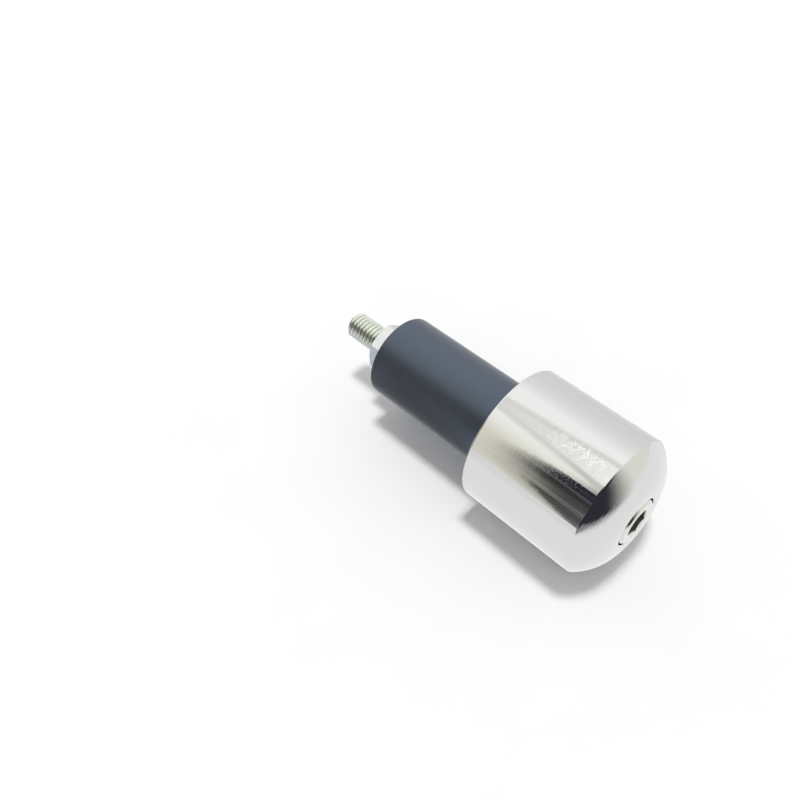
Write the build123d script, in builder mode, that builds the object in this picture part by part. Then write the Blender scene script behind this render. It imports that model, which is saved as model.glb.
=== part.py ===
"""Expanding bar end weight: a turned chrome-plated weight, a rubber plug, an M6 socket screw and its nut.

The axis lies along X, with +X outboard. The origin is on the axis, at the inboard face of the weight,
where the end of the handlebar tube meets it. All sizes are in millimetres.
"""

from build123d import *
from math import radians, tan
import os

# Weight: a plain barrel with a low domed nose
weight_diameter = 30.0
barrel_length = 25.5
nose_height = 4.8
nose_bulge = 1.0
nose_land = 1.2
inboard_edge_radius = 0.3
nose_edge_chamfer = 0.15
mouth_chamfer = 0.2

# Socket screw, M6 with a cylindrical head
thread_diameter = 6.0
tip_projection = 9.8
tip_chamfer = 0.7
head_diameter = 10.0
head_height = 6.0
head_rise = 0.3
head_edge_chamfer = 0.5
socket_width = 5.0
socket_depth = 3.0
socket_cone_angle = 30.0
socket_lead_in = 0.2
socket_turn = 36.0

# Rubber plug that the screw squeezes until it grips the tube
sleeve_diameter = 18.8
sleeve_length = 31.9
sleeve_edge_chamfer = 0.4

# M6 hex nut, drawn against the end of the rubber
nut_width = 10.0
nut_height = 5.0
nut_chamfer_angle = 30.0
nut_face_step = 0.25
nut_lead_in = 0.4
nut_turn = 25.0

# Clearances, all radial
hole_clearance = 0.35
head_clearance = 0.35
nut_clearance = 0.05

# Worked out from the sizes above
weight_radius = weight_diameter / 2
weight_length = barrel_length + nose_height
thread_radius = thread_diameter / 2
head_radius = head_diameter / 2
hole_radius = thread_radius + hole_clearance
counterbore_radius = head_radius + head_clearance
counterbore_depth = head_height - head_rise
nose_flat_radius = counterbore_radius + mouth_chamfer + nose_land
head_seat = weight_length - counterbore_depth
head_top = head_seat + head_height
nut_seat = -sleeve_length
nut_end = nut_seat - nut_height
screw_tip = nut_end - tip_projection

os.makedirs("parts", exist_ok=True)


def closed_rims(part):
    """The full circles of a turned solid, from the inboard end to the outboard end."""
    return part.edges().filter_by(lambda edge: edge.is_closed).sort_by(Axis.X)


# Weight: half profile turned about X, then the stepped hole for the screw
with BuildPart() as end_weight:
    with BuildSketch(Plane.XZ):
        with BuildLine():
            Polyline((0, 0), (0, weight_radius), (barrel_length, weight_radius))
            SagittaArc((barrel_length, weight_radius), (weight_length, nose_flat_radius), nose_bulge)
            Polyline((weight_length, nose_flat_radius), (weight_length, 0), (0, 0))
        make_face()
    revolve(axis=Axis.X)
    inboard_rim, nose_rim = closed_rims(end_weight)[:2]
    fillet(inboard_rim, inboard_edge_radius)
    chamfer(nose_rim, nose_edge_chamfer)
    with Locations(Plane.YZ.offset(weight_length)):
        CounterBoreHole(hole_radius, counterbore_radius, counterbore_depth)
    mouth_rims = end_weight.faces().sort_by(Axis.X)[-1].edges().sort_by(SortBy.RADIUS)
    chamfer(mouth_rims[0], mouth_chamfer)
end_weight.part.label = "end_weight"
export_step(end_weight.part, "parts/end_weight.step")

# Rubber plug: a plain thick tube that butts against the weight
with BuildPart() as expander_sleeve:
    with BuildSketch(Plane.YZ):
        Circle(sleeve_diameter / 2)
        Circle(hole_radius, mode=Mode.SUBTRACT)
    extrude(amount=-sleeve_length)
    free_end = expander_sleeve.faces().sort_by(Axis.X)[0]
    chamfer(free_end.edges().sort_by(SortBy.RADIUS)[-1], sleeve_edge_chamfer)
expander_sleeve.part.label = "expander_sleeve"
export_step(expander_sleeve.part, "parts/expander_sleeve.step")

# Socket screw: head in the counterbore, shank out through the plug and the nut
with BuildPart() as socket_screw:
    with BuildSketch(Plane.YZ.offset(head_seat)):
        Circle(head_radius)
    extrude(amount=head_height)
    chamfer(closed_rims(socket_screw)[-1], head_edge_chamfer)
    with BuildSketch(Plane.YZ.offset(head_seat)):
        Circle(thread_radius)
    extrude(amount=screw_tip - head_seat)
    chamfer(closed_rims(socket_screw)[0], tip_chamfer)
    with BuildSketch(Plane.YZ.offset(head_top)):
        RegularPolygon(socket_width / 2, 6, major_radius=False, rotation=socket_turn)
    extrude(amount=-socket_depth, mode=Mode.SUBTRACT)
    with BuildSketch(Plane.XZ):
        socket_floor = head_top - socket_depth
        lead_radius = socket_width / 3**0.5 + socket_lead_in
        cone_slope = tan(radians(socket_cone_angle))
        with BuildLine():
            Polyline(
                (socket_floor, 0),
                (socket_floor, socket_width / 2),
                (socket_floor - cone_slope * socket_width / 2, 0),
                (socket_floor, 0),
            )
        make_face()
        with BuildLine():
            Polyline(
                (head_top, 0),
                (head_top, lead_radius),
                (head_top - cone_slope * lead_radius, 0),
                (head_top, 0),
            )
        make_face()
    revolve(axis=Axis.X, mode=Mode.SUBTRACT)
socket_screw.part.label = "socket_screw"
export_step(socket_screw.part, "parts/socket_screw.step")

# Hex nut: prism with both ends turned to a cone, bored to run on the screw
with BuildPart() as hex_nut:
    with BuildSketch(Plane.YZ.offset(nut_seat)):
        RegularPolygon(nut_width / 2, 6, major_radius=False, rotation=nut_turn)
    extrude(amount=-nut_height)
    with BuildSketch(Plane.XZ):
        nut_corner = nut_width / 3**0.5
        nut_face = nut_width / 2 - nut_face_step
        cone_drop = (nut_corner - nut_face) * tan(radians(nut_chamfer_angle))
        with BuildLine():
            Polyline(
                (nut_seat, 0),
                (nut_seat, nut_face),
                (nut_seat - cone_drop, nut_corner),
                (nut_end + cone_drop, nut_corner),
                (nut_end, nut_face),
                (nut_end, 0),
                (nut_seat, 0),
            )
        make_face()
    revolve(axis=Axis.X, mode=Mode.INTERSECT)
    with Locations(Plane.YZ.offset(nut_seat)):
        Hole(thread_radius + nut_clearance)
    bore_rims = closed_rims(hex_nut).sort_by(SortBy.RADIUS)[:2]
    chamfer(bore_rims, nut_lead_in)
hex_nut.part.label = "hex_nut"
export_step(hex_nut.part, "parts/hex_nut.step")
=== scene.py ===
"""Looks of the expanding bar end weight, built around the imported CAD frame.

Lengths are in millimetres and angles in degrees. Only the places that textures take are in metres.
"""

import math

import bpy
from mathutils import Matrix, Vector


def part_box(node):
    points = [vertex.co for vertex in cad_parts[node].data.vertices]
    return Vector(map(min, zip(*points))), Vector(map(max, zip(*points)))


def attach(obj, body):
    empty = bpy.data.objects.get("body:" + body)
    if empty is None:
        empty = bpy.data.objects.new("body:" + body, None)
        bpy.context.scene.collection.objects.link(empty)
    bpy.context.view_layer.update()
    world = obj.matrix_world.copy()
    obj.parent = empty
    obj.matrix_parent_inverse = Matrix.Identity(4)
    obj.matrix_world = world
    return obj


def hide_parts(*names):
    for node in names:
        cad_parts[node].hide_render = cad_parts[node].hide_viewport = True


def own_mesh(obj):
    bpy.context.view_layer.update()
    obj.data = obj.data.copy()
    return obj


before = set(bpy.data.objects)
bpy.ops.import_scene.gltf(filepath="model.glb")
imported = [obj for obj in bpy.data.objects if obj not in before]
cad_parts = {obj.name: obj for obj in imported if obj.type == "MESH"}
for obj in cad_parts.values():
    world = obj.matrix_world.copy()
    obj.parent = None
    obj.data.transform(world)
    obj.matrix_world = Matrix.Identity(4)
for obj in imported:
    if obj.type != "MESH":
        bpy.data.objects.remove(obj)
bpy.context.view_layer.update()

MM = 0.001


def box_mm(node):
    """Lowest and highest corners of a CAD node at rest."""
    return [[value / MM for value in corner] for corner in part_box(node)]


weight_low, weight_high = box_mm("end_weight")
sleeve_low, sleeve_high = box_mm("expander_sleeve")
screw_low, screw_high = box_mm("socket_screw")
nut_low, nut_high = box_mm("hex_nut")

# Sizes that the frame gives
FLOOR_Z = weight_low[2]
WEIGHT_R = max(weight_high[1:])
WEIGHT_LENGTH = weight_high[0]
SLEEVE_R = max(sleeve_high[1:])
SLEEVE_LENGTH = -sleeve_low[0]
HEAD_R = max(screw_high[1:])
HEAD_TOP = screw_high[0]
SCREW_TIP = screw_low[0]
NUT_SEAT = nut_high[0]
NUT_END = nut_low[0]

# Smaller sizes, as in the CAD source
THREAD_R = 3.0
TIP_CHAMFER = 0.7
HEAD_HEIGHT = 6.0
HEAD_SEAT = HEAD_TOP - HEAD_HEIGHT
HEAD_CHAMFER = 0.5
SOCKET_WIDTH = 5.0
SOCKET_DEPTH = 3.0
SOCKET_LEAD_IN = 0.2
SOCKET_TURN = 36.0
LEAD_IN_R = SOCKET_WIDTH / math.sqrt(3) + SOCKET_LEAD_IN
HOLE_CLEARANCE = 0.35
HOLE_R = THREAD_R + HOLE_CLEARANCE
HEAD_CLEARANCE = 0.35
BORE_R = HEAD_R + HEAD_CLEARANCE
MOUTH_CHAMFER = 0.2
NOSE_LAND = 1.2
NOSE_FLAT_R = BORE_R + MOUTH_CHAMFER + NOSE_LAND
NOSE_HEIGHT = 4.8
NOSE_BULGE = 1.0
BARREL_LENGTH = WEIGHT_LENGTH - NOSE_HEIGHT
INBOARD_EDGE = 0.3
SLEEVE_RIM = 0.4
NUT_WIDTH = 10.0
NUT_FACE_STEP = 0.25
NUT_FACE_R = NUT_WIDTH / 2 - NUT_FACE_STEP
NUT_TURN = 25.0
NUT_CLEARANCE = 0.05
NUT_BORE_R = THREAD_R + NUT_CLEARANCE
NUT_LEAD_IN = 0.4
CONE_ANGLE = 30.0
CONE_SLOPE = math.tan(math.radians(CONE_ANGLE))

# Thread, which the CAD source leaves plain; crest and flank are shares of half a pitch
THREAD_DEPTH = 0.56
THREAD_PITCH = 1.0
THREAD_LENGTH = 24.0
THREAD_RUNOUT = 1.5
THREAD_CREST = 0.28
THREAD_FLANK = 0.58
RINGS_PER_TURN = 16

# Small edges: what a softened corner takes off each side, and how near a ring keeps the next face flat
SOFT = 0.1
HOLD = 0.05
HEAD_FILLET = 0.2
CONE_TIP_R = 0.17


# Outlines
def clamp(value):
    return min(1.0, max(0.0, value))


def arc(centre, radius, start, end, steps):
    """Points (x, r) on a circle in the half plane, with angles from +X towards +r."""
    angles = [math.radians(start + (end - start) * k / steps) for k in range(steps + 1)]
    return [(centre[0] + radius * math.cos(a), centre[1] + radius * math.sin(a)) for a in angles]


def soft_corner(before, corner, after, steps=4):
    """A small rounded corner from one point to another, as a quadratic curve."""
    points = []
    for k in range(steps + 1):
        t = k / steps
        a, b, c = (1 - t) ** 2, 2 * t * (1 - t), t * t
        points.append(tuple(a * p + b * q + c * s for p, q, s in zip(before, corner, after)))
    return points


def hex_radius(width, turn, angle):
    """Radius of a hexagon with a corner at turn, at an angle."""
    off_flat = (angle - turn) % 60.0 - 30.0
    return width / 2 / math.cos(math.radians(off_flat))


# Meshes and objects
def linked(name, data):
    """A new object in the scene."""
    made = bpy.data.objects.new(name, data)
    bpy.context.scene.collection.objects.link(made)
    return made


def mesh_mm(name, verts, faces):
    """A mesh from places in millimetres."""
    mesh = bpy.data.meshes.new(name)
    mesh.from_pydata([(x * MM, y * MM, z * MM) for x, y, z in verts], [], faces)
    mesh.update()
    return mesh


def ring_point(ring, angle):
    """The point of a ring (x, r) at an angle."""
    x, r = (value(angle) if callable(value) else value for value in ring)
    return (x, r * math.cos(math.radians(angle)), r * math.sin(math.radians(angle)))


def turned(name, rings, segments, turn=0.0, closed=False, sharp_above=32.0):
    """A turned piece from rings (x, r), where either may be a function of the angle.

    The outside of the outline runs towards +X, so that the faces point outwards.
    An open outline gets a point on the axis at each end. Hard corners are marked sharp.
    """
    angles = [turn + 360.0 * j / segments for j in range(segments)]
    verts = [ring_point(ring, angle) for ring in rings for angle in angles]
    starts = [segments * i for i in range(len(rings))]
    first, last = starts[0], starts[-1]
    joined = list(zip(starts, starts[1:]))
    if closed:
        joined.append((last, first))
    sides = [(j, (j + 1) % segments) for j in range(segments)]
    faces = [(a + j, a + k, b + k, b + j) for a, b in joined for j, k in sides]
    if not closed:
        pole = len(verts)
        verts += [(x, 0.0, 0.0) for x, _ in (rings[0], rings[-1])]
        faces += [(pole, first + k, first + j) for j, k in sides]
        faces += [(pole + 1, last + j, last + k) for j, k in sides]
    mesh = mesh_mm(name, verts, faces)
    mesh.polygons.foreach_set("use_smooth", [True] * len(mesh.polygons))
    mesh.set_sharp_from_angle(angle=math.radians(sharp_above))
    mesh.update()
    return linked(name, mesh)


# Node trees
class Nodes:
    """Short calls for building one node tree. The functions below call theirs n."""

    def __init__(self, tree):
        self.tree = tree
        self.tree.nodes.clear()

    def node(self, kind, inputs=None, **settings):
        """A new node, with inputs that are linked or set."""
        made = self.tree.nodes.new(kind)
        for key, value in settings.items():
            setattr(made, key, value)
        for key, value in (inputs or {}).items():
            if isinstance(value, bpy.types.NodeSocket):
                self.tree.links.new(value, made.inputs[key])
            else:
                made.inputs[key].default_value = value
        return made

    def first(self, kind, inputs=None, **settings):
        """The first output of a new node."""
        return self.node(kind, inputs, **settings).outputs[0]

    def math(self, operation, a, b=0.0, c=0.0, clamp=False):
        return self.first("ShaderNodeMath", {0: a, 1: b, 2: c}, operation=operation, use_clamp=clamp)

    def product(self, value, *factors):
        for factor in factors:
            value = self.math("MULTIPLY", value, factor)
        return value

    def plus(self, base, value, share):
        """A base plus a share of a value."""
        return self.math("MULTIPLY_ADD", value, share, base)

    def larger(self, a, b):
        return self.math("MAXIMUM", a, b)

    def step(self, value, start, full):
        """0 up to start, 1 from full on and smooth between; full may be lower than start."""
        inputs = {0: value, 1: start, 2: full}
        return self.first("ShaderNodeMapRange", inputs, interpolation_type="SMOOTHSTEP")

    def band(self, value, low, high, soft):
        """1 between low and high, with soft ends."""
        rise = self.step(value, start=low - soft, full=low + soft)
        fall = self.step(value, start=high + soft, full=high - soft)
        return self.product(rise, fall)

    def blend(self, factor, a, b):
        """A number that goes from a to b."""
        return self.first("ShaderNodeMix", {0: factor, 2: a, 3: b}, data_type="FLOAT")

    def mix(self, factor, a, b):
        """A colour that goes from a to b."""
        return self.node("ShaderNodeMix", {0: factor, 6: a, 7: b}, data_type="RGBA").outputs[2]

    def mix_shader(self, factor, a, b):
        return self.first("ShaderNodeMixShader", {0: factor, 1: a, 2: b})

    def ramp(self, value, stops):
        """Colours at rising values, blended evenly between them."""
        made = self.node("ShaderNodeValToRGB", {0: value})
        elements = made.color_ramp.elements
        while len(elements) < len(stops):
            elements.new(1.0)
        for element, (at, colour) in zip(elements, stops):
            element.position = at
            element.color = (*colour, 1.0)
        return made.outputs[0]

    def times(self, vector, factor):
        """A vector or colour times a number."""
        return self.first("ShaderNodeVectorMath", {0: vector, "Scale": factor}, operation="SCALE")

    def tinted(self, colour, tint):
        return self.first("ShaderNodeVectorMath", {0: colour, 1: tint}, operation="MULTIPLY")

    def place(self):
        """The place of a point on its object, in metres."""
        return self.node("ShaderNodeTexCoord").outputs["Object"]

    def axes(self, vector):
        return self.node("ShaderNodeSeparateXYZ", {0: vector}).outputs

    def axes_mm(self, place):
        return self.axes(self.times(place, 1 / MM))

    def off_axis(self, y, z):
        """Distance from the X axis."""
        return self.math("SQRT", self.math("ADD", self.product(y, y), self.product(z, z)))

    def stretched(self, vector, scale):
        return self.first("ShaderNodeMapping", {"Vector": vector, "Scale": scale})

    def noise(self, vector, scale=1.0, detail=2.0, rough=0.5, distort=0.0):
        inputs = {"Vector": vector, "Scale": scale, "Detail": detail}
        inputs |= {"Roughness": rough, "Distortion": distort}
        return self.first("ShaderNodeTexNoise", inputs)

    def cells(self, vector, scale):
        return self.node("ShaderNodeTexVoronoi", {"Vector": vector, "Scale": scale}).outputs

    def bump(self, height, strength, distance):
        """A normal for fine relief, where a height of 1 stands out by the distance."""
        inputs = {"Height": height, "Strength": strength, "Distance": distance * MM}
        return self.first("ShaderNodeBump", inputs)

    def mirrored(self):
        """1 for what the camera sees in a mirror, 0 for light that a mirror throws on a dull surface."""
        path = self.node("ShaderNodeLightPath").outputs
        return self.product(path["Is Glossy Ray"], self.math("LESS_THAN", path["Diffuse Depth"], 0.5))


def grey(value):
    return (value, value, value, 1.0)


def material(name):
    """A new material and its empty node tree."""
    made = bpy.data.materials.new(name)
    made.use_nodes = True
    return made, Nodes(made.node_tree)


# Weight: turned and chrome-plated
def weight_profile():
    """Half outline of the weight as in the CAD source, with its nose corner softened."""
    chord = (NOSE_HEIGHT, NOSE_FLAT_R - WEIGHT_R)
    chord_length = math.hypot(*chord)
    dome_r = (chord_length ** 2 / 4 + NOSE_BULGE ** 2) / (2 * NOSE_BULGE)
    drop = (dome_r - NOSE_BULGE) / chord_length
    centre = (BARREL_LENGTH + chord[0] / 2 + drop * chord[1], WEIGHT_R + chord[1] / 2 - drop * chord[0])
    middle = math.degrees(math.atan2(chord[0], -chord[1]))
    half = math.degrees(math.asin(chord_length / 2 / dome_r))
    dome = arc(centre, dome_r, start=middle + half, end=middle - half, steps=40)
    inboard_centre = (INBOARD_EDGE, WEIGHT_R - INBOARD_EDGE)
    return [
        (0.0, HOLE_R),
        (0.0, WEIGHT_R - INBOARD_EDGE - HOLD),
        *arc(inboard_centre, INBOARD_EDGE, start=180, end=90, steps=10),
        (INBOARD_EDGE + HOLD, WEIGHT_R),
        (BARREL_LENGTH - 3 * SOFT, WEIGHT_R),
        *soft_corner((BARREL_LENGTH - 2 * SOFT, WEIGHT_R), (BARREL_LENGTH, WEIGHT_R), dome[1], steps=6),
        *dome[2:],
        (WEIGHT_LENGTH, NOSE_FLAT_R - SOFT),
        (WEIGHT_LENGTH, BORE_R + MOUTH_CHAMFER),
        (WEIGHT_LENGTH - MOUTH_CHAMFER, BORE_R),
        (HEAD_SEAT, BORE_R),
        (HEAD_SEAT, HOLE_R),
    ]


def chrome_plate():
    """A bright mirror, faintly wavy, with marks on the barrel's upper front and a turned nose."""
    made, n = material("chrome_plate")
    place = n.place()
    along, y, z = n.axes_mm(place)
    around = n.math("DEGREES", n.math("ARCTAN2", z, y))

    def patch(turn, length, fade):
        """1 on a patch of the barrel, between two angles around it and two places along it."""
        return n.product(n.band(around, *turn, soft=3.0), n.band(along, *length, soft=fade))

    def lines(across, per_degree, scale, rough):
        """Fine uneven lines around the axis."""
        line_place = n.first("ShaderNodeCombineXYZ", {0: across, 1: n.product(around, per_degree)})
        return n.noise(line_place, scale=scale, detail=3.0, rough=rough)

    # Specks in the dark band: some of many small cells
    cells = n.cells(place, scale=2600.0)
    chosen = n.step(n.first("ShaderNodeSeparateColor", {0: cells["Color"]}), start=0.34, full=0.40)
    spots = n.step(cells["Distance"], start=0.50, full=0.22)
    specks = n.product(spots, chosen, patch(turn=(126.0, 134.0), length=(9.0, 24.8), fade=3.0))

    # Scuffs on the bright panel: a fine grain, and pale strokes where a swirl passes its middle value
    grain = n.step(n.noise(place, scale=2400.0), start=0.50, full=0.64)
    grain = n.product(grain, patch(turn=(103.0, 118.0), length=(8.0, 24.0), fade=4.0))
    swirl = n.noise(n.stretched(place, (620.0, 360.0, 360.0)), distort=1.2)
    strokes = n.step(n.math("ABSOLUTE", n.math("SUBTRACT", swirl, 0.5)), start=0.046, full=0.014)
    patchy = n.step(n.noise(place, scale=240.0), start=0.44, full=0.54)
    worn = patch(turn=(104.0, 116.0), length=(14.0, 24.0), fade=4.0)
    scuff = n.product(strokes, patchy, worn)
    speck_share = 0.34
    dull = n.larger(scuff, n.product(specks, speck_share))

    # Relief: waves, the marks, polishing lines, and turning lines on the nose
    wave = n.noise(place, scale=420.0)
    polish = lines(along, per_degree=0.02, scale=1.7, rough=0.6)
    on_nose = n.step(along, start=BARREL_LENGTH + 0.1, full=BARREL_LENGTH + 0.3)
    turning = n.product(lines(n.off_axis(y, z), per_degree=0.012, scale=2.4, rough=0.65), on_nose)
    height = 0.0
    for relief, share in ((wave, 0.8), (dull, 0.3), (turning, 8.0), (polish, 0.6)):
        height = n.plus(height, relief, share)

    plate = n.mix(grain, (0.70, 0.70, 0.695, 1.0), (0.63, 0.63, 0.62, 1.0))
    shader = n.first("ShaderNodeBsdfPrincipled", {
        "Base Color": n.mix(scuff, plate, grey(0.97)),
        "Metallic": 1.0,
        "Roughness": n.plus(n.plus(0.03, worn, 0.04), dull, 0.40),
        "Normal": n.bump(height, strength=0.3, distance=0.01),
    })
    n.node("ShaderNodeOutputMaterial", {0: shader})
    return made


weight = turned("weight_chrome", weight_profile(), segments=192, closed=True)
weight.data.materials.append(chrome_plate())
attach(weight, "weight")
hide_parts("end_weight")


# Rubber plug
def sleeve_profile():
    """Half outline of the plug, a plain tube with a round rim at the free end."""
    end = -SLEEVE_LENGTH
    rim_centre = (end + SLEEVE_RIM, SLEEVE_R - SLEEVE_RIM)
    return [
        (end, HOLE_R),
        (end, SLEEVE_R - SLEEVE_RIM - HOLD),
        *arc(rim_centre, SLEEVE_RIM, start=180, end=90, steps=8),
        (end + SLEEVE_RIM + HOLD, SLEEVE_R),
        (-HOLD, SLEEVE_R),
        (0.0, SLEEVE_R - HOLD),
        (0.0, HOLE_R),
    ]


def rubber_black():
    """Satin blue-black rubber with a few pale specks and a dusty sheen, and painted shade that darkens both
    rims.
    """
    made, n = material("rubber_black")
    place = n.place()
    along = n.axes_mm(place)[0]
    bloom = n.noise(place, scale=140.0, detail=3.0, rough=0.6)
    grain = n.noise(place, scale=6000.0, detail=3.0, rough=0.6)
    specks = n.step(n.cells(place, scale=420.0)["Distance"], start=0.07, full=0.03)
    # Painted shade: the base colour is darkened at the free end's rounded rim and at the rim against the
    # weight, where shade falls.
    painted_shade_free_rim = n.step(along, start=-SLEEVE_LENGTH + 0.5, full=-SLEEVE_LENGTH + 0.25)
    painted_shade_seated_rim = n.step(along, start=-0.45, full=-0.3)
    tone = n.ramp(bloom, [(0.3, (0.017, 0.012, 0.018)), (0.7, (0.023, 0.017, 0.024))])
    tone = n.mix(n.larger(painted_shade_free_rim, painted_shade_seated_rim), tone, (0.006, 0.007, 0.008, 1.0))
    shader = n.first("ShaderNodeBsdfPrincipled", {
        "Base Color": n.mix(n.product(specks, 0.2), tone, (0.12, 0.125, 0.135, 1.0)),
        "Roughness": n.plus(0.32, bloom, 0.12),
        "IOR": 1.75,
        "Specular IOR Level": 0.95,
        "Specular Tint": (0.57, 0.78, 1.0, 1.0),
        "Sheen Weight": 0.45,
        "Sheen Roughness": 0.32,
        "Normal": n.bump(grain, strength=0.35, distance=0.03),
    })
    n.node("ShaderNodeOutputMaterial", {0: shader})
    return made


sleeve = turned("sleeve_rubber", sleeve_profile(), segments=128, closed=True)
sleeve.data.materials.append(rubber_black())
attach(sleeve, "weight")
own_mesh(sleeve)
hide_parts("expander_sleeve")


# Zinc plating, for the screw and the nut
def zinc_colour(n, place, cool, warm):
    """A faintly mottled colour."""
    cloud = n.noise(place, scale=420.0, detail=3.0, rough=0.6)
    return n.ramp(cloud, [(0.3, cool), (0.7, warm)])


def zinc_grain(n, place):
    return n.noise(place, scale=3800.0)


def zinc_shader(n, colour, rough, grain):
    shader = n.first("ShaderNodeBsdfPrincipled", {
        "Base Color": colour,
        "Metallic": 1.0,
        "Roughness": rough,
        "Normal": n.bump(grain, strength=0.3, distance=0.02),
    })
    n.node("ShaderNodeOutputMaterial", {0: shader})


# Screw: threaded end, plain shank, cylinder head with a hex socket
def thread(x):
    """Radius of the right-hand thread at x, as a function of the angle."""

    def radius(angle):
        turn = (x / THREAD_PITCH + angle / 360.0) % 1.0
        off_crest = abs(turn - 0.5) * 2.0
        flank = clamp((off_crest - THREAD_CREST) / THREAD_FLANK)
        depth = THREAD_DEPTH * flank * flank * (3 - 2 * flank)
        runout = clamp((SCREW_TIP + THREAD_LENGTH - x) / THREAD_RUNOUT)
        tip_r = THREAD_R - TIP_CHAMFER + x - SCREW_TIP
        return min(THREAD_R - depth * runout, tip_r)

    return radius


def socket_outline(angle):
    return hex_radius(SOCKET_WIDTH, SOCKET_TURN, angle)


def socket_mouth(angle):
    """Where the lead-in cone meets the hexagon."""
    return HEAD_TOP - (LEAD_IN_R - socket_outline(angle)) * CONE_SLOPE


def screw_profile():
    """Rings of the screw, from its tip over the head to the bottom of the socket."""
    steps = int(THREAD_LENGTH / THREAD_PITCH * RINGS_PER_TURN)
    thread_places = [SCREW_TIP + THREAD_LENGTH * k / steps for k in range(steps + 1)]
    fillet_centre = (HEAD_SEAT - HEAD_FILLET, THREAD_R + HEAD_FILLET)
    chamfer_x = HEAD_TOP - HEAD_CHAMFER
    top_r = HEAD_R - HEAD_CHAMFER
    slant = SOFT * math.sqrt(0.5)
    socket_floor = HEAD_TOP - SOCKET_DEPTH
    cone_r = SOCKET_WIDTH / 2 - HOLD
    return [
        *[(x, thread(x)) for x in thread_places],
        *arc(fillet_centre, HEAD_FILLET, start=270, end=360, steps=4),
        (HEAD_SEAT, HEAD_R - 2 * SOFT),
        *soft_corner((HEAD_SEAT, HEAD_R - SOFT), (HEAD_SEAT, HEAD_R), (HEAD_SEAT + SOFT, HEAD_R)),
        (HEAD_SEAT + 2 * SOFT, HEAD_R),
        (chamfer_x - 2 * SOFT, HEAD_R),
        *soft_corner((chamfer_x - SOFT, HEAD_R), (chamfer_x, HEAD_R), (chamfer_x + slant, HEAD_R - slant)),
        *soft_corner((HEAD_TOP - slant, top_r + slant), (HEAD_TOP, top_r), (HEAD_TOP, top_r - SOFT)),
        (HEAD_TOP, top_r - 2 * SOFT),
        (HEAD_TOP, LEAD_IN_R),
        (socket_mouth, socket_outline),
        (socket_floor, socket_outline),
        (socket_floor, cone_r),
        (socket_floor - (cone_r - CONE_TIP_R) * CONE_SLOPE, CONE_TIP_R),
    ]


def zinc_screw():
    """Bright zinc with painted shade darkening the thread's hollows, smoother on the head, and rougher down
    the socket with mottled painted shade.
    """
    made, n = material("zinc_screw")
    place = n.place()
    along, y, z = n.axes_mm(place)
    out = n.off_axis(y, z)
    grain = zinc_grain(n, place)

    # The looks of head and thread meet on the shank, out of sight
    on_head = n.step(along, start=20.0, full=21.0)
    on_thread = n.step(along, start=-20.0, full=-21.0)
    # Painted shade: the base colour is darkened in the thread's hollows.
    painted_groove_shade = n.product(n.step(out, start=THREAD_R - 0.28, full=THREAD_R - 0.52), on_thread)
    below_top = n.step(along, start=HEAD_TOP - 0.12, full=HEAD_TOP - 0.4)
    in_socket = n.product(below_top, n.step(out, start=3.3, full=3.1), on_head)

    colour = zinc_colour(n, place, cool=(0.79, 0.83, 0.77), warm=(0.86, 0.875, 0.78))
    colour = n.mix(painted_groove_shade, colour, (0.43, 0.48, 0.45, 1.0))
    colour = n.mix(on_head, colour, n.tinted(colour, (0.87, 0.845, 0.88)))
    # Painted shade: the socket gets a dark, mottled base colour and a higher roughness.
    socket_shade_mottle = n.noise(place, scale=900.0, detail=3.0, rough=0.6)
    painted_socket_shade = n.ramp(socket_shade_mottle, [(0.35, (0.26, 0.26, 0.235)), (0.65, (0.50, 0.50, 0.455))])
    rough = n.plus(n.blend(on_head, 0.18, 0.05), grain, 0.08)
    zinc_shader(n, n.mix(in_socket, colour, painted_socket_shade), n.plus(rough, in_socket, 0.40), grain)
    return made


screw = turned("screw_zinc", screw_profile(), segments=96, turn=SOCKET_TURN)
screw.data.materials.append(zinc_screw())
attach(screw, "screw")
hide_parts("socket_screw")


# Nut: hexagon with both ends turned to a cone
def nut_outline(angle):
    return hex_radius(NUT_WIDTH, NUT_TURN, angle)


def nut_cone(face, sign):
    """Where the cone from a face of the nut meets the hexagon, as a function of the angle."""
    return lambda angle: face + sign * max(0.0, nut_outline(angle) - NUT_FACE_R) * CONE_SLOPE


def nut_profile():
    """Rings of the nut, from its bore over the outside and back."""
    return [
        (NUT_END + NUT_LEAD_IN, NUT_BORE_R),
        (NUT_END, NUT_BORE_R + NUT_LEAD_IN),
        (NUT_END, NUT_FACE_R),
        (nut_cone(NUT_END, 1), nut_outline),
        (nut_cone(NUT_END + SOFT, 1), nut_outline),
        (nut_cone(NUT_SEAT - SOFT, -1), nut_outline),
        (nut_cone(NUT_SEAT, -1), nut_outline),
        (NUT_SEAT, NUT_FACE_R),
        (NUT_SEAT, NUT_BORE_R + NUT_LEAD_IN),
        (NUT_SEAT - NUT_LEAD_IN, NUT_BORE_R),
    ]


def zinc_nut():
    """Bright zinc, a little bluer than the screw's."""
    made, n = material("zinc_nut")
    place = n.place()
    grain = zinc_grain(n, place)
    colour = zinc_colour(n, place, cool=(0.66, 0.69, 0.72), warm=(0.75, 0.75, 0.72))
    zinc_shader(n, colour, n.plus(0.14, grain, 0.12), grain)
    return made


nut = turned("nut_zinc", nut_profile(), segments=144, turn=NUT_TURN, closed=True, sharp_above=20.0)
nut.data.materials.append(zinc_nut())
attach(nut, "nut")
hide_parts("hex_nut")


# Floor: white, with painted shadows and shade that only mirrors show
FLOOR_HALF = 3000.0


def painted_plug_shadow(n, x, y):
    """1 where a shadow of the plug is painted for mirrors: on the floor under the plug and in front of it."""
    fan = 0.45
    inboard = n.step(n.plus(x, n.math("ABSOLUTE", y), fan), start=4.0, full=-4.0)
    near = n.larger(n.step(x, start=-64.0, full=-50.0), n.step(y, start=-35.0, full=-55.0))
    return n.product(inboard, n.product(n.step(y, start=20.0, full=4.0), near))


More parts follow.
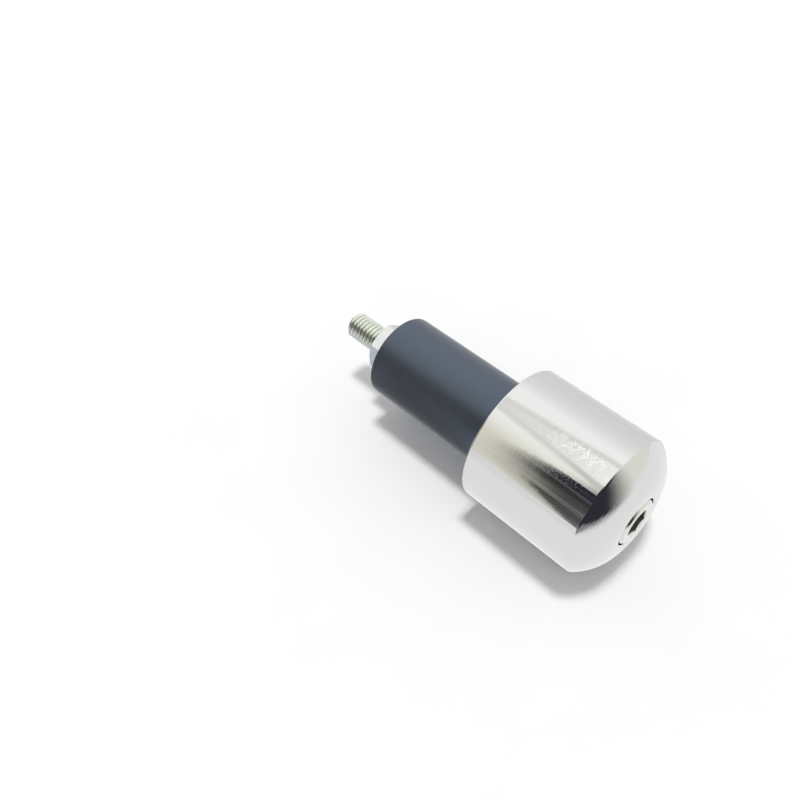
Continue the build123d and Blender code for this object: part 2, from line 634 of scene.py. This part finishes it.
def mirror_floor_painted_shade(n, x, y):
    """The floor's colour in mirrors: white, with painted shade off the nose, at the front right and behind
    the weight, a little darker far in front, and a painted shadow of the plug.
    """
    slant = (0.77, -0.64)
    plug_slant = -0.52
    aslant = n.plus(n.product(y, slant[1]), x, slant[0])
    # Painted shade for mirrors: the floor is dimmed off the nose and at the front right.
    off_nose = n.product(n.step(aslant, start=70.0, full=150.0), n.band(x, low=65.0, high=155.0, soft=12.0))
    front_right = n.product(n.step(y, start=-40.0, full=-66.0), n.step(x, start=55.0, full=80.0))
    painted_front_shade = n.product(n.larger(off_nose, front_right), n.step(y, start=60.0, full=30.0))
    # Painted shade for mirrors: the floor behind the weight is a little darker.
    behind = n.product(n.step(y, start=5.0, full=30.0), n.step(x, start=36.0, full=20.0))
    far_front = n.step(y, start=-70.0, full=-150.0)
    # Painted shadow of the plug for mirrors, in two tones: a bluish grey and a darker warm grey.
    beside_plug = n.step(n.plus(x, y, plug_slant), start=-36.5, full=-33.5)
    beside_plug = n.larger(beside_plug, n.step(y, start=-35.0, full=-55.0))
    beside_plug = n.product(beside_plug, n.step(y, start=-6.0, full=-14.0))
    painted_plug_shadow_tone = n.mix(beside_plug, (0.60, 0.66, 0.72, 1.0), (0.325, 0.295, 0.28, 1.0))
    glow = n.mix(behind, grey(1.0), grey(0.83))
    glow = n.mix(far_front, glow, (0.92, 0.92, 0.91, 1.0))
    glow = n.mix(painted_front_shade, glow, grey(0.27))
    return n.mix(painted_plug_shadow(n, x, y), glow, painted_plug_shadow_tone)


def floor_white():
    """Matt white paper, which glows for mirrors only, with painted shadows and shade in that glow."""
    made, n = material("floor_white")
    place = n.place()
    x, y, _ = n.axes_mm(place)
    paper = n.first("ShaderNodeBsdfPrincipled", {
        "Base Color": n.ramp(n.noise(place, scale=60.0), [(0.3, (0.965,) * 3), (0.7, (0.98,) * 3)]),
        "Roughness": 0.9,
        "Specular IOR Level": 0.0,
    })
    glow = n.first("ShaderNodeEmission", {0: mirror_floor_painted_shade(n, x, y), 1: 1.0})
    n.node("ShaderNodeOutputMaterial", {0: n.mix_shader(n.mirrored(), paper, glow)})
    return made


corners = [(-1, -1), (1, -1), (1, 1), (-1, 1)]
floor_verts = [(FLOOR_HALF * x, FLOOR_HALF * y, FLOOR_Z) for x, y in corners]
floor = linked("floor", mesh_mm("floor", floor_verts, [(0, 1, 2, 3)]))
floor.data.materials.append(floor_white())

# Wall: the dark side of the room in front, seen only as a reflection
WALL_CENTRE = (20.0, -15.0)
WALL_HALF = (133.0, 335.0)
WALL_LEFT = -190.0
WALL_FOOT = FLOOR_Z + 1.0
WALL_TOP = 456.0
WALL_SWEEP = 108.0
WALL_STEPS = 36
RAMP_TOP = 500.0


def wall_path():
    """The wall from above: straight in front, then round the right side along an ellipse."""
    path = [(WALL_LEFT, WALL_CENTRE[1] - WALL_HALF[1])]
    for k in range(WALL_STEPS + 1):
        a = math.radians(WALL_SWEEP * k / WALL_STEPS)
        x = WALL_CENTRE[0] + WALL_HALF[0] * math.sin(a)
        y = WALL_CENTRE[1] - WALL_HALF[1] * math.cos(a)
        path.append((x, y))
    return path


def wall_tone(n, place, z, in_front):
    """The wall's colour: near black at the side and streaked greys in front.

    The greys change with height, which is a share of RAMP_TOP.
    """
    plain = [(0.0, 0.3), (0.06, 0.12), (0.14, 0.1), (0.2, 0.16), (0.3, 0.12), (0.48, 0.055), (0.55, 0.065)]
    bluish = [(0.57, 0.16), (0.60, 0.035)]
    stops = [(at, (v, v, v)) for at, v in plain] + [(at, (v, v, 1.3 * v)) for at, v in bluish]
    streaks = n.noise(n.stretched(place, (5.0, 5.0, 50.0)), detail=4.0, rough=0.75)
    contrast, least = 4.0, 0.3
    strength = n.larger(n.plus(1.0 - contrast / 2, streaks, contrast), least)
    streaked = n.times(n.ramp(n.math("DIVIDE", z, RAMP_TOP), stops), strength)
    return n.mix(in_front, (0.034, 0.034, 0.046, 1.0), streaked)


def wall_left_edge(n, place, x, z):
    """0 left of the wall's ragged left edge and 1 right of it.

    The edge lies some way in from WALL_LEFT, by height as a share of RAMP_TOP, and is softer at some heights.
    """
    ways_in = [(0.0, 112), (0.12, 86), (0.28, 69), (0.52, 51), (0.66, 43), (0.86, 40), (0.94, 48), (1.0, 64)]
    way_in = n.ramp(n.math("DIVIDE", z, RAMP_TOP), [(at, (way, way, way)) for at, way in ways_in])
    mottle = n.noise(n.stretched(place, (620.0, 620.0, 42.0)), rough=0.6)
    mottle = n.math("SUBTRACT", mottle, 0.5)
    across = n.math("SUBTRACT", n.math("SUBTRACT", x, WALL_LEFT), way_in)
    ragged, ragged_top = 30.0, 60.0
    across = n.plus(across, mottle, ragged)
    fringe = n.product(n.step(across, start=-45.0, full=4.0), 0.36)
    lowest = n.plus(fringe, n.step(across, start=-6.0, full=14.0), 0.64)
    low = n.step(across, start=-40.0, full=40.0)
    middle = n.step(across, start=-36.0, full=24.0)
    high = n.step(across, start=-28.0, full=14.0)
    cover = n.blend(n.step(z, start=160.0, full=220.0), low, middle)
    cover = n.blend(n.step(z, start=85.0, full=105.0), lowest, cover)
    cover = n.blend(n.step(z, start=300.0, full=380.0), cover, high)
    return n.product(cover, n.step(n.plus(z, mottle, ragged_top), start=500.0, full=470.0))


def room_dark():
    """A dark card with soft edges, clear where the wall ends."""
    made, n = material("room_dark")
    place = n.place()
    x, y, z = n.axes_mm(place)
    in_front = n.step(y, start=-240.0, full=-330.0)
    at_side = n.step(x, start=100.0, full=130.0)
    side_end = n.step(y, start=75.0, full=-30.0)
    side_foot = n.plus(0.25, n.step(z, start=-20.0, full=-4.0), 0.75)
    cover = n.math("ADD", side_end, n.math("SUBTRACT", 1.0, at_side), clamp=True)
    cover = n.product(cover, n.blend(in_front, side_foot, wall_left_edge(n, place, x, z)))
    clear = n.first("ShaderNodeBsdfTransparent")
    shade = n.first("ShaderNodeEmission", {0: wall_tone(n, place, z, in_front), 1: 1.0})
    n.node("ShaderNodeOutputMaterial", {0: n.mix_shader(cover, clear, shade)})
    return made


wall_ends = wall_path()
wall_verts = [(x, y, z) for x, y in wall_ends for z in (WALL_FOOT, WALL_TOP)]
wall_faces = [(2 * i, 2 * i + 2, 2 * i + 3, 2 * i + 1) for i in range(len(wall_ends) - 1)]
wall = linked("dark_wall", mesh_mm("dark_wall", wall_verts, wall_faces))
wall.data.materials.append(room_dark())
wall.visible_camera = False
wall.visible_diffuse = False
wall.visible_shadow = False
wall.visible_transmission = False


# World: even white light, and a banded white room for mirrors
def panel_shade(n, turn, aside):
    """The room's shading overhead: a panel that narrows to the left, with grey lines along its sides."""
    middle, widest = 0.527, 0.15
    half = n.math("MINIMUM", n.plus(0.306, aside, 0.6), widest)
    offset = n.math("SUBTRACT", turn, middle)
    edge = n.math("SUBTRACT", n.math("ABSOLUTE", offset), half)
    lower = n.product(n.step(offset, start=-0.01, full=0.01), n.step(aside, start=-0.32, full=-0.27))
    line = n.product(n.band(edge, low=-0.060, high=-0.014, soft=0.016), n.plus(0.22, lower, 0.12))
    inner = n.math("MULTIPLY_ADD", aside, -1.3, -0.314, clamp=True)
    inner = n.product(inner, n.step(edge, start=0.012, full=-0.012))
    return n.math("SUBTRACT", 1.0, n.larger(line, inner))


def mirrored_room(n):
    """The room's colour in mirrors, where turn runs from 0 at the back over the top to 1 in front."""
    look = n.node("ShaderNodeTexCoord").outputs["Generated"]
    aside, y, up = n.axes(look)
    turn = n.math("DIVIDE", n.math("ARCTAN2", up, y), math.pi)
    walls = n.ramp(turn, [
        (0.00, (0.87, 0.87, 0.87)),
        (0.11, (0.90, 0.90, 0.90)),
        (0.22, (1.00, 1.00, 1.00)),
        (0.33, (1.19, 1.19, 1.19)),
        (0.62, (1.17, 1.17, 1.13)),
        (0.68, (1.11, 1.11, 1.04)),
        (0.79, (0.88, 0.865, 0.75)),
        (1.00, (0.85, 0.835, 0.72)),
    ])
    room = n.times(walls, panel_shade(n, turn, aside))

    # The left of the room: dusky in front, and warmer where the plug mirrors it
    on_plug = n.product(n.step(aside, start=-0.40, full=-0.43), n.step(aside, start=-0.528, full=-0.516))
    warm = n.product(on_plug, n.step(turn, start=0.56, full=0.66))
    room = n.mix(warm, room, n.tinted(room, (1.18, 1.02, 0.93)))
    shady = n.product(n.step(turn, start=0.66, full=0.82), n.step(aside, start=-0.395, full=-0.43))
    room = n.mix(shady, room, n.mix(on_plug, (0.20, 0.205, 0.19, 1.0), (0.135, 0.112, 0.100, 1.0)))

    # The dark viewer, up in front, and a plain wall on the right
    viewer_place = (0.0, -0.6, 0.8)
    viewer = n.node("ShaderNodeVectorMath", {0: look, 1: viewer_place}, operation="DISTANCE").outputs["Value"]
    room = n.mix(n.step(viewer, start=0.32, full=0.20), room, grey(0.03))
    return n.mix(n.step(aside, start=0.25, full=0.6), room, (0.94, 0.94, 0.86, 1.0))


def studio():
    """Plain white behind the part, a fill light for dull surfaces and the room for mirrors."""
    made = bpy.data.worlds.new("studio")
    made.use_nodes = True
    n = Nodes(made.node_tree)
    room = n.first("ShaderNodeBackground", {0: mirrored_room(n), 1: 1.0})
    backdrop = n.first("ShaderNodeBackground", {0: grey(1.0), 1: 1.0})
    fill = n.first("ShaderNodeBackground", {0: grey(1.0), 1: 0.56})
    path = n.node("ShaderNodeLightPath").outputs
    straight = n.larger(path["Is Camera Ray"], path["Is Transmission Ray"])
    lit = n.mix_shader(n.mirrored(), fill, room)
    n.node("ShaderNodeOutputWorld", {0: n.mix_shader(straight, lit, backdrop)})
    return made


bpy.context.scene.world = studio()

# Key: soft light from above, with the brightness that it gives a level white floor
KEY_BRIGHTNESS = 0.48
KEY_SPREAD = 10.0
KEY_FROM = Vector((0.0, -0.02, 1.0))
key = linked("key", bpy.data.lights.new("key", "SUN"))
key.data.energy = KEY_BRIGHTNESS * math.pi
key.data.angle = math.radians(KEY_SPREAD)
key.rotation_euler = KEY_FROM.to_track_quat("Z", "Y").to_euler()
key.visible_glossy = False

# Camera, from the fit to the photograph's outlines
CAMERA_PLACE = Vector((63.077, -93.951, 130.141))
CAMERA_RIGHT = Vector((0.7020, 0.7121, 0.0)).normalized()
CAMERA_AHEAD = Vector((-0.4833, 0.4764, -0.7345)).normalized()
CAMERA_UP = CAMERA_RIGHT.cross(CAMERA_AHEAD)
camera = linked("camera", bpy.data.cameras.new("camera"))
camera.data.lens = 37.9
camera.data.sensor_width = 36.0
camera.data.clip_start = 5.0 * MM
camera.data.clip_end = 20000.0 * MM
camera_turn = Matrix((CAMERA_RIGHT, CAMERA_UP, -CAMERA_AHEAD)).transposed().to_4x4()
camera.matrix_world = Matrix.Translation(CAMERA_PLACE * MM) @ camera_turn
bpy.context.scene.camera = camera
bpy.context.scene.view_settings.view_transform = "Standard"
